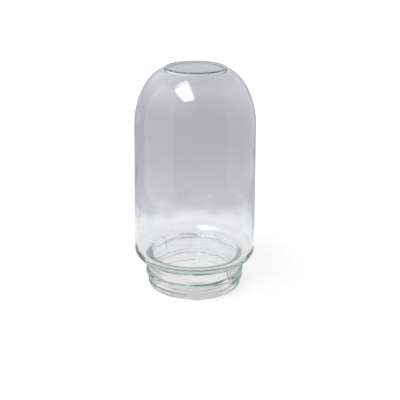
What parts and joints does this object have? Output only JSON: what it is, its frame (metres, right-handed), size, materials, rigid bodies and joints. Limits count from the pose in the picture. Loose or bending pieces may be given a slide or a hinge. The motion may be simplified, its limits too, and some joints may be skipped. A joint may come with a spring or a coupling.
{
  "type": "screw-neck glass dome",
  "caption": "Clear glass dome with a cylindrical body, a raised flat disc on its crown and an open neck with an outside screw thread.",
  "frame": {"origin": "centre of the rim's plane, on the axis of the dome", "axes": "+Z from the open rim up to the closed crown; the neck's mould seam is near -Y, towards +X"},
  "size_m": [0.1036, 0.1036, 0.189],
  "materials": {
    "clear_glass": "fire-polished clear soda-lime glass, faintly green where it is thick"
  },
  "bodies": {
    "root": {"glass_dome": "clear_glass"}
  },
  "joints": []
}
